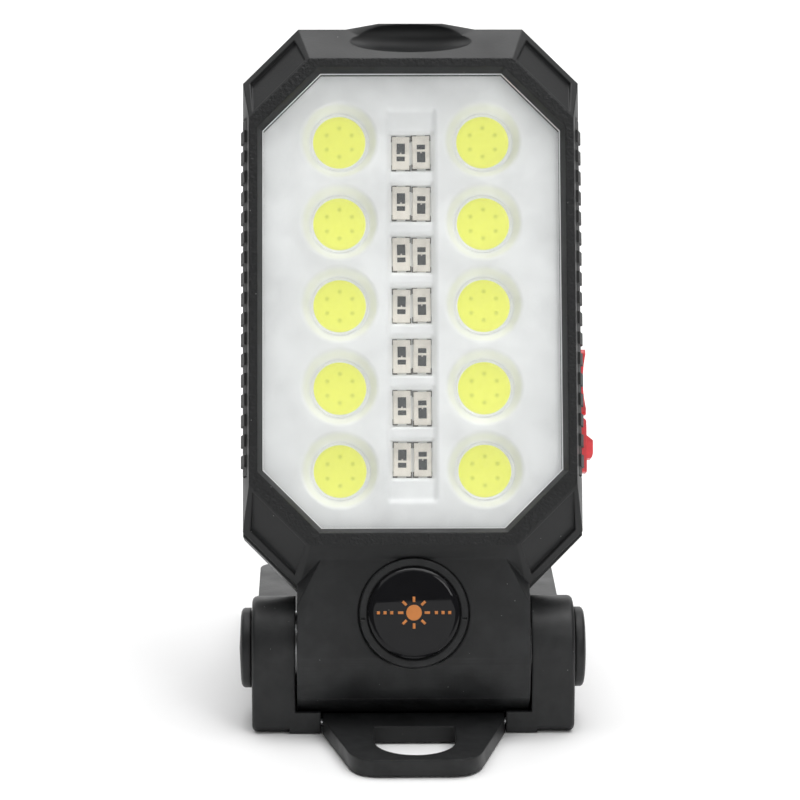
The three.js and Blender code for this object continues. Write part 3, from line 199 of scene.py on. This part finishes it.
class Graph:
    """A material's node tree, with short calls that add nodes and join them."""

    def __init__(self, name):
        self.material = bpy.data.materials.new(name)
        self.material.use_nodes = True
        self.tree = self.material.node_tree
        self.shader = self.tree.nodes["Principled BSDF"]

    def add(self, kind, inputs, **settings):
        node = self.tree.nodes.new(kind)
        for key, value in settings.items():
            setattr(node, key, value)
        for key, value in inputs.items():
            self.feed(node.inputs[key], value)
        return node

    def feed(self, socket, value):
        if isinstance(value, bpy.types.NodeSocket):
            self.tree.links.new(value, socket)
        else:
            socket.default_value = value

    def set(self, **inputs):
        """Feeds the shader: underscores in a name stand for spaces."""
        for key, value in inputs.items():
            self.feed(self.shader.inputs[key.replace("_", " ")], value)

    def place(self):
        """Coordinates fixed to the piece, in millimetres."""
        coordinates = self.add("ShaderNodeTexCoord", {})
        scaled = self.add("ShaderNodeVectorMath", {0: coordinates.outputs["Object"]}, operation="SCALE")
        scaled.inputs["Scale"].default_value = 1 / MM
        return scaled.outputs[0]

    def maths(self, operation, first, second=0.0):
        return self.add("ShaderNodeMath", {0: first, 1: second}, operation=operation).outputs[0]

    def dot(self, vector, axis):
        node = self.add("ShaderNodeVectorMath", {0: vector, 1: axis}, operation="DOT_PRODUCT")
        return node.outputs["Value"]

    def noise(self, place, size, detail=2.0, stretch=(1, 1, 1)):
        """Noise whose features are about `size` millimetres across."""
        mapping = self.add("ShaderNodeMapping", {"Vector": place, "Scale": stretch})
        node = self.add("ShaderNodeTexNoise", {
            "Vector": mapping.outputs[0],
            "Scale": 1 / size,
            "Detail": detail,
        })
        return node.outputs[0]

    def remap(self, value, from_low, from_high, to_low, to_high):
        node = self.add("ShaderNodeMapRange", {
            "Value": value,
            "From Min": from_low,
            "From Max": from_high,
            "To Min": to_low,
            "To Max": to_high,
        })
        return node.outputs[0]

    def mix(self, share, first, second):
        node = self.add("ShaderNodeMix", {0: share}, data_type="RGBA")
        self.feed(node.inputs[6], first)
        self.feed(node.inputs[7], second)
        return node.outputs[2]

    def bump(self, height, depth, strength=1.0, normal=None):
        node = self.add("ShaderNodeBump", {"Height": height, "Distance": depth * MM, "Strength": strength})
        if normal:
            self.feed(node.inputs["Normal"], normal)
        return node.outputs[0]

    def rounded(self, radius):
        """Normals that make sharp edges look rounded."""
        return self.add("ShaderNodeBevel", {"Radius": radius * MM}, samples=6).outputs[0]

    def worn_edges(self, place, least, most):
        """Between `least` and `most` in patches along convex edges, 0 elsewhere."""
        geometry = self.add("ShaderNodeNewGeometry", {})
        edges = self.remap(geometry.outputs["Pointiness"], *CONVEX_EDGE, 0, 1)
        return self.maths("MULTIPLY", edges, self.remap(self.noise(place, 3), *NOISE_CORE, least, most))


def shade(colour, factor):
    return tuple(channel * factor for channel in colour) + (1,)


def mottled(graph, colour, place, size, spread):
    """The colour, varied by up to `spread` on either side over patches of `size`."""
    patches = graph.remap(graph.noise(place, size, 4), *NOISE_RANGE, 0, 1)
    return graph.mix(patches, shade(colour, 1 - spread), shade(colour, 1 + spread))


def dusted(graph, colour, place):
    """Adds rare pale specks of dust."""
    spots = graph.add("ShaderNodeTexVoronoi", {"Vector": place, "Scale": 1 / SPECK_SPACING})
    edge = SPECK_RADIUS / SPECK_SPACING
    mask = graph.remap(spots.outputs["Distance"], edge * 0.7, edge, 1, 0)
    return graph.mix(mask, colour, SPECK_GREY)


def moulding(name, colour, roughness, specular, grain=0.35, depth=0.03, wear=0.5, dust=True, edge=0.25):
    """A moulded surface: grained, with patches of gloss, worn and rounded edges and a little dust."""
    graph = Graph(name)
    place = graph.place()
    normal = graph.bump(graph.noise(place, grain, 3), depth, normal=graph.rounded(edge) if edge else None)
    tint = mottled(graph, colour, place, 6, 0.08)
    edge_wear = graph.worn_edges(place, 0, wear)
    tint = graph.mix(edge_wear, tint, shade(colour, 2.2))
    if dust:
        tint = dusted(graph, tint, place)
    gloss = graph.remap(graph.noise(place, 9, 4), *NOISE_RANGE, roughness - 0.05, roughness + 0.05)
    gloss = graph.maths("SUBTRACT", gloss, graph.maths("MULTIPLY", edge_wear, 0.12))
    graph.set(Base_Color=tint, Roughness=gloss, Specular_IOR_Level=specular, Normal=normal)
    return graph.material


BLACK = (0.0115, 0.012, 0.0125)


def black_abs():
    return moulding("black_abs", BLACK, 0.47, 0.34, grain=0.4, depth=0.022, edge=0.45)


def bezel_abs():
    """The same plastic, with a coarse spark texture on the bezel's front rim."""
    graph = Graph("bezel_abs")
    place = graph.place()
    origin = HEAD.translation / MM
    offset = graph.add("ShaderNodeVectorMath", {0: place, 1: origin}, operation="SUBTRACT").outputs[0]
    depth = graph.dot(offset, HEAD.col[1].to_3d())
    rim = graph.remap(depth, BEZEL_FRONT + 0.04, BEZEL_FRONT + 0.12, 1, 0)
    fine = graph.bump(graph.noise(place, 0.4, 3), 0.022, normal=graph.rounded(0.4))
    coarse = graph.bump(graph.noise(place, 0.5, 4), 0.3, strength=rim, normal=fine)
    tint = mottled(graph, BLACK, place, 6, 0.08)
    edge_wear = graph.worn_edges(place, 0.2, 0.7)
    tint = dusted(graph, graph.mix(edge_wear, tint, shade(BLACK, 2.4)), place)
    gloss = graph.remap(graph.noise(place, 9, 4), *NOISE_RANGE, 0.42, 0.52)
    graph.set(Base_Color=tint, Roughness=gloss, Specular_IOR_Level=0.34, Normal=coarse)
    return graph.material


def black_rubber():
    return moulding("black_rubber", (0.02, 0.02, 0.02), 0.62, 0.3, grain=0.25, depth=0.03, wear=0.3)


def white_plastic():
    colour = (0.93, 0.945, 0.94)
    return moulding("white_plastic", colour, 0.5, 0.4, grain=0.9, depth=0.01, wear=0, dust=False, edge=0)


def clear_lens():
    graph = Graph("clear_lens")
    smear = graph.remap(graph.noise(graph.place(), 12, 3), *NOISE_CORE, 0.03, 0.08)
    graph.set(Base_Color=(0.93, 0.96, 0.97, 1), Roughness=smear, Specular_IOR_Level=0.5, Alpha=0.07)
    graph.material.surface_render_method = "BLENDED"
    return graph.material


def phosphor():
    """Yellow gel with the six chips beneath it showing as faint darker spots, a painted paler sheen round its edge
    and a painted glow.
    """
    graph = Graph("phosphor")
    place = graph.place()
    split = graph.add("ShaderNodeSeparateXYZ", {"Vector": place})
    across = split.outputs["X"]
    along = split.outputs["Z"]
    radius = graph.maths("SQRT", graph.maths("ADD", graph.maths("MULTIPLY", across, across),
                                             graph.maths("MULTIPLY", along, along)))
    sector = math.pi / 3
    turn = graph.maths("ADD", graph.maths("ARCTAN2", across, along), 6.5 * sector)
    turn = graph.maths("SUBTRACT", graph.maths("MODULO", turn, sector), sector / 2)
    side = graph.maths("MULTIPLY", radius, graph.maths("SINE", turn))
    ahead = graph.maths("SUBTRACT", graph.maths("MULTIPLY", radius, graph.maths("COSINE", turn)), CHIP_RING)
    distance = graph.maths("SQRT", graph.maths("ADD", graph.maths("MULTIPLY", side, side),
                                               graph.maths("MULTIPLY", ahead, ahead)))
    chips = graph.remap(distance, CHIP_RADIUS * 0.4, CHIP_RADIUS, 0.6, 0)
    # Paler towards the gel's edge: a painted sheen.
    rim = graph.remap(radius, GEL_RADIUS - 0.5, GEL_RADIUS, 0, 0.6)
    yellow = mottled(graph, (0.94, 0.98, 0.12), place, 2.2, 0.02)
    yellow = graph.mix(chips, yellow, (0.62, 0.68, 0.05, 1))
    yellow = graph.mix(rim, yellow, (0.93, 0.96, 0.32, 1))
    # The emission below is a painted glow, not light from a lit emitter.
    graph.set(Base_Color=yellow, Roughness=0.35, Specular_IOR_Level=0.4,
              Normal=graph.bump(graph.noise(place, 0.6), 0.02),
              Emission_Color=yellow, Emission_Strength=GEL_PAINTED_GLOW)
    return graph.material


def led_package():
    return moulding("led_package", (0.74, 0.70, 0.62), 0.45, 0.4, grain=0.3, depth=0.01, wear=0.2, dust=False)


def chip_glass():
    return moulding("chip_glass", (0.02, 0.022, 0.022), 0.3, 0.4, grain=0.5, depth=0.03, wear=0, dust=False)


def solder():
    return moulding("solder", (0.07, 0.065, 0.05), 0.4, 0.4, grain=0.25, depth=0.05, wear=0.3, dust=False)


def aluminium_board():
    colour = (0.80, 0.80, 0.78)
    return moulding("aluminium_board", colour, 0.45, 0.4, grain=0.8, depth=0.01, wear=0, dust=False)


def circuit_board():
    return moulding("circuit_board", (0.02, 0.15, 0.06), 0.35, 0.5, grain=1.2, depth=0.02, wear=0.3)


def cell_wrap():
    return moulding("cell_wrap", (0.33, 0.42, 0.52), 0.3, 0.5, grain=4, depth=0.05, wear=0.3)


def red_plastic():
    return moulding("red_plastic", (0.74, 0.055, 0.065), 0.3, 0.5, grain=0.3, depth=0.015, wear=0.25)


def red_rubber():
    return moulding("red_rubber", (0.78, 0.07, 0.08), 0.42, 0.45, grain=0.3, depth=0.02, wear=0.2)


def gloss_black():
    graph = Graph("gloss_black")
    place = graph.place()
    gloss = graph.remap(graph.noise(place, 4, 3), *NOISE_RANGE, 0.02, 0.06)
    tint = dusted(graph, mottled(graph, (0.009, 0.009, 0.01), place, 5, 0.1), place)
    graph.set(Base_Color=tint, Roughness=gloss, Specular_IOR_Level=0.2)
    return graph.material


def metal(name, colour, roughness, brush):
    """Bare metal with fine lines drawn out along X by `brush`."""
    graph = Graph(name)
    place = graph.place()
    lines = graph.noise(place, 0.2, 4, stretch=(1 / brush, 1, 1))
    gloss = graph.remap(lines, *NOISE_RANGE, roughness * 0.7, roughness * 1.3)
    tint = mottled(graph, colour, place, 3, 0.06)
    graph.set(Base_Color=tint, Metallic=1.0, Roughness=gloss, Normal=graph.bump(lines, 0.004))
    return graph.material


def steel():
    return metal("steel", (0.55, 0.56, 0.57), 0.34, 12)


def chrome():
    return metal("chrome", (0.75, 0.76, 0.78), 0.1, 3)


def orange_print():
    return moulding("orange_print", (0.62, 0.22, 0.055), 0.4, 0.4, grain=0.25, depth=0.01, wear=0, dust=False)


def floor_paper():
    graph = Graph("floor_paper")
    place = graph.place()
    tint = mottled(graph, (0.95, 0.95, 0.95), place, 40, 0.005)
    graph.set(Base_Color=tint, Roughness=0.9, Specular_IOR_Level=0.1)
    return graph.material


SLOT_MATERIALS = {
    make.__name__: make()
    for make in (
        black_abs, black_rubber, white_plastic, clear_lens, phosphor, led_package, aluminium_board,
        circuit_board, cell_wrap, red_plastic, red_rubber, steel, chrome, gloss_black,
    )
}
CHIP_GLASS = chip_glass()
SOLDER = solder()


# ---- Mesh helpers ----------------------------------------------------------------------------


def new_piece(name, vertices, faces, material, place, body, smooth=False):
    """A piece built around its own origin, in millimetres, put in place and joined to a body."""
    mesh = bpy.data.meshes.new(name)
    mesh.from_pydata([Vector(v) * MM for v in vertices], [], faces)
    mesh.materials.append(material)
    for polygon in mesh.polygons:
        polygon.use_smooth = smooth
    piece = bpy.data.objects.new(name, mesh)
    piece.matrix_world = place
    bpy.context.scene.collection.objects.link(piece)
    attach(piece, body)
    return piece


def lathe(profile, steps=48):
    """Turns (radius, depth) points round the Y axis. Points on the axis become one vertex."""
    vertices = []
    rings = []
    for radius, depth in profile:
        first = len(vertices)
        if radius == 0:
            vertices.append((0, depth, 0))
            rings.append([first] * steps)
            continue
        for step in range(steps):
            angle = step / steps * 2 * math.pi
            vertices.append((radius * math.cos(angle), depth, radius * math.sin(angle)))
        rings.append(list(range(first, first + steps)))
    faces = []
    for near, far in zip(rings, rings[1:]):
        for step in range(steps):
            following = (step + 1) % steps
            corners = [near[step], near[following], far[following], far[step]]
            faces.append(list(dict.fromkeys(corners)))
    return vertices, faces


BOX_FACES = [(0, 1, 3, 2), (4, 6, 7, 5), (0, 4, 5, 1), (2, 3, 7, 6), (0, 2, 6, 4), (1, 5, 7, 3)]


def boxes(ranges, turns=None):
    """Several boxes in one mesh. Each is ((x0, x1), (y0, y1), (z0, z1)), moved by its own matrix."""
    vertices = []
    faces = []
    for index, (xs, ys, zs) in enumerate(ranges):
        turn = turns[index] if turns else Matrix()
        first = len(vertices)
        vertices += [turn @ Vector((x, y, z)) for x in xs for y in ys for z in zs]
        faces += [[first + corner for corner in face] for face in BOX_FACES]
    return vertices, faces


# ---- CAD nodes that stay ---------------------------------------------------------------------


SMOOTH_BELOW = 25  # degrees between faces that are shaded as one curved surface


def shade_by_angle(node):
    """Welds a CAD node's split corners and shades it smooth, with its sharp edges kept sharp."""
    piece = frame["nodes"][node]
    weld = piece.modifiers.new("weld", "WELD")
    weld.merge_threshold = 1e-6
    split = piece.modifiers.new("split", "EDGE_SPLIT")
    split.split_angle = math.radians(SMOOTH_BELOW)
    for polygon in piece.data.polygons:
        polygon.use_smooth = True


def finish_nodes():
    """Gives each CAD node the material of its slot."""
    slots = {part["node"]: part["material_slot"] for part in frame["record"]["subparts"]}
    for name, node in frame["nodes"].items():
        material = SLOT_MATERIALS[slots[name]]
        for slot in node.material_slots:
            slot.material = material
        shade_by_angle(name)
    bezel = bezel_abs()
    for slot in frame["nodes"]["front_casing"].material_slots:
        slot.material = bezel


# ---- Emitters --------------------------------------------------------------------------------


def make_cob(node):
    """A gel disc inside its white dam."""
    spot = in_head(centre(node))
    place = head_place(spot.x, LED_FRONT, spot.z)
    gel = lathe([
        (0, -0.3), (2.2, -0.28), (3.6, -0.2),
        (4.4, -0.08), (GEL_RADIUS, 0.08), (GEL_RADIUS, GEL_BACK),
    ])
    piece = new_piece(node + "_gel", *gel, SLOT_MATERIALS["phosphor"], place, "head", smooth=True)
    dam = lathe([
        (DAM_INNER_RADIUS, GEL_BACK), (DAM_INNER_RADIUS, -0.02), (4.72, -0.16),
        (4.92, -0.16), (DAM_RADIUS, 0), (DAM_RADIUS, GEL_BACK),
    ])
    ring = new_piece(node + "_dam", *dam, SLOT_MATERIALS["white_plastic"], place, "head", smooth=True)
    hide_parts(node)


def package_turn(pair, side):
    """Where a package sits in its pocket: the right one is upside down, and each is a little askew."""
    askew = math.radians(1.1 * math.sin(pair * 2.3 + side))
    rise = 0.12 * math.sin(pair * 1.7 + side * 2)
    flip = Matrix.Rotation(math.pi, 4, "Y") if side > 0 else Matrix()
    move = Matrix.Translation((side * PACKAGE_SPREAD, 0, rise))
    return move @ Matrix.Rotation(askew, 4, "Y") @ flip


def package_parts():
    """The boxes of one package: its frame with two windows, the dark chips in them, its solder."""
    half = PACKAGE_WIDTH / 2
    top = PACKAGE_HEIGHT / 2
    through = (0, PACKAGE_DEPTH)
    body = [
        ((-half, -WINDOW_HALF), through, (-top, top)),
        ((WINDOW_HALF, half), through, (-top, top)),
        ((-WINDOW_HALF, WINDOW_HALF), through, (WINDOW_TOP, top)),
        ((-WINDOW_HALF, WINDOW_HALF), through, (-top, WINDOW_BOTTOM)),
        ((-WINDOW_HALF, WINDOW_HALF), through, (BAR_BOTTOM, BAR_TOP)),
        ((-BOND_HALF, BOND_HALF), through, (BAR_TOP, BAR_TOP + BOND_HEIGHT)),
    ]
    chips = [((-WINDOW_HALF, WINDOW_HALF), (CHIP_SINK, PACKAGE_DEPTH), (WINDOW_BOTTOM, WINDOW_TOP))]
    marks = []
    solder_depth = (SOLDER_SINK, PACKAGE_DEPTH)
    for side in (-1, 1):
        beside = sorted((side * half, side * (half + SOLDER_WIDTH)))
        under = sorted(side * x for x in SOLDER_ENDS)
        for end in (-1, 1):
            outer = end * (top + SOLDER_WIDTH)
            marks.append((under, solder_depth, sorted((end * top, outer))))
            marks.append((beside, solder_depth, sorted((end * SOLDER_SIDES, outer))))
    return body, chips, marks


def make_packages(pair):
    """The two packages in one pocket, their chips and their solder."""
    node = f"smd_led_pair_{pair}"
    spot = in_head(centre(node))
    place = head_place(0, LED_FRONT - 0.3, spot.z)
    for part, ranges, material, slot in zip(
        ("packages", "chips", "solder"),
        package_parts(),
        (SLOT_MATERIALS["led_package"], CHIP_GLASS, SOLDER),
        ("led_package", "gloss_black", "steel"),
    ):
        turns = [package_turn(pair, side) for side in (-1, 1) for _ in ranges]
        vertices, faces = boxes(ranges * 2, turns)
        piece = new_piece(f"{node}_{part}", vertices, faces, material, place, "head")
    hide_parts(node)


# ---- Reflector -------------------------------------------------------------------------------


def eased(share):
    """0 to 1, level at both ends."""
    share = min(max(share, 0), 1)
    return share * share * (3 - 2 * share)


def inside_box(x, z, half_width, half_height, corner):
    """How far a point lies inside a rounded rectangle, negative outside."""
    across = abs(x) - half_width + corner
    along = abs(z) - half_height + corner
    outside = math.hypot(max(across, 0), max(along, 0))
    return corner - outside - min(max(across, along), 0)


def reflector_depth(x, z, cobs, pockets, channel):
    """Depth of the reflector's face behind its rim: round cups, and a channel with square pockets."""
    depth = 0
    for spot_x, spot_z in cobs:
        radius = math.hypot(x - spot_x, z - spot_z)
        if radius < CUP_RIM_RADIUS:
            share = (CUP_RIM_RADIUS - radius) / (CUP_RIM_RADIUS - DAM_RADIUS)
            depth = CUP_DEPTH * (0.45 * eased(share) + 0.55 * min(share, 1) ** 1.2)
    edge = inside_box(x, z - channel, CHANNEL_HALF[0], CHANNEL_HALF[1], 0.8)
    depth = max(depth, CHANNEL_DEPTH * eased(edge / 0.8))
    for spot_z in pockets:
        edge = inside_box(x, z - spot_z, POCKET_HALF[0], POCKET_HALF[1], 0.4)
        depth = max(depth, CHANNEL_DEPTH + POCKET_DEPTH * eased(edge / 0.45)) if edge > 0 else depth
    return depth


def make_reflector():
    """The white face behind the window, as one fine grid with softly rounded cups and pockets."""
    corners = [in_head(v.co) for v in frame["nodes"]["reflector_panel"].data.vertices]
    half_width = max(c.x for c in corners)
    top = max(c.z for c in corners)
    bottom = min(c.z for c in corners)
    front = min(c.y for c in corners)
    straight = [c.z for c in corners if c.x > half_width - 0.01 and c.y < front + 0.01]
    cobs = [(c.x, c.z) for c in (in_head(centre(f"cob_led_{side}_{row}"))
                                 for side in ("left", "right") for row in range(1, 6))]
    pockets = [in_head(centre(f"smd_led_pair_{pair}")).z for pair in range(1, 8)]
    channel = (pockets[0] + pockets[-1]) / 2
    rows = round((top - bottom) / GRID_STEP)
    columns = round(2 * half_width / GRID_STEP)
    vertices = []
    for row in range(rows + 1):
        z = bottom + (top - bottom) * row / rows
        cut = max(z - max(straight), min(straight) - z, 0)
        for column in range(columns + 1):
            x = (2 * column / columns - 1) * (half_width - cut)
            vertices.append((x, front + reflector_depth(x, z, cobs, pockets, channel), z))
    faces = []
    for row in range(rows):
        for column in range(columns):
            first = row * (columns + 1) + column
            faces.append((first, first + 1, first + columns + 2, first + columns + 1))
    white = SLOT_MATERIALS["white_plastic"]
    piece = new_piece("reflector_face", vertices, faces, white, HEAD, "head", smooth=True)
    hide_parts("reflector_panel")


# ---- Lens edge: painted highlight ------------------------------------------------------------


def opening_outline(inset):
    """The corners of the bezel's opening, moved inwards by `inset`."""
    half = OPENING_HALF - inset
    low = OPENING_HEIGHTS[0] + inset
    high = OPENING_HEIGHTS[1] - inset
    cut = OPENING_CUT - inset * (2 - math.sqrt(2))
    right = [(half - cut, low), (half, low + cut), (half, high - cut), (half - cut, high)]
    left = [(-x, z) for x, z in reversed(right)]
    return right + left


def make_lens_painted_highlight():
    """A white strip along the lens's polished edge: a painted highlight standing for its thin bright line."""
    front = min(in_head(v.co).y for v in frame["nodes"]["lens"].data.vertices) - 0.02
    outer = opening_outline(0)
    inner = opening_outline(LENS_HIGHLIGHT_WIDTH)
    count = len(outer)
    vertices = [(x, front, z) for x, z in outer + inner]
    faces = []
    for corner in range(count):
        following = (corner + 1) % count
        faces.append((corner, following, following + count, corner + count))
    # White plastic strip in front of the lens: a painted highlight.
    piece = new_piece("lens_painted_highlight", vertices, faces, SLOT_MATERIALS["white_plastic"], HEAD, "head")


# ---- Badge -----------------------------------------------------------------------------------


def make_symbol():
    """A plain sun sign between two rows of three dots, printed on the badge's dome."""
    rays = [((-RAY_HALF, RAY_HALF), PRINT_DEPTH, RAY_REACH)] * RAYS
    turns = [Matrix.Rotation(step * 2 * math.pi / RAYS, 4, "Y") for step in range(RAYS)]
    for side in (-1, 1):
        for step in range(DOTS):
            rays.append(((-DOT_HALF, DOT_HALF), PRINT_DEPTH, (-DOT_HALF, DOT_HALF)))
            turns.append(Matrix.Translation((side * (DOT_FIRST + DOT_STEP * step), 0, 0)))
    front, back = PRINT_DEPTH
    disc_vertices, disc_faces = lathe([(0, front), (SUN_RADIUS, front), (SUN_RADIUS, back)], 32)
    vertices, faces = boxes(rays, turns)
    faces += [[corner + len(vertices) for corner in face] for face in disc_faces]
    vertices += disc_vertices
    place = head_place(0, DOME_FRONT, BADGE_HEIGHT)
    new_piece("badge_symbol", vertices, faces, orange_print(), place, "head")


def make_floor():
    size = 6
    mesh = bpy.data.meshes.new("floor")
    corners = [(-size, -size, 0), (size, -size, 0), (size, size, 0), (-size, size, 0)]
    mesh.from_pydata(corners, [], [(0, 1, 2, 3)])
    mesh.materials.append(floor_paper())
    floor = bpy.data.objects.new("floor", mesh)
    floor.location.z = -0.2 * MM
    bpy.context.scene.collection.objects.link(floor)


make_camera()
make_lights()
make_world()
make_floor()
finish_nodes()
for row in range(1, 6):
    make_cob(f"cob_led_left_{row}")
    make_cob(f"cob_led_right_{row}")
for pair in range(1, 8):
    make_packages(pair)
make_reflector()
make_lens_painted_highlight()
make_symbol()
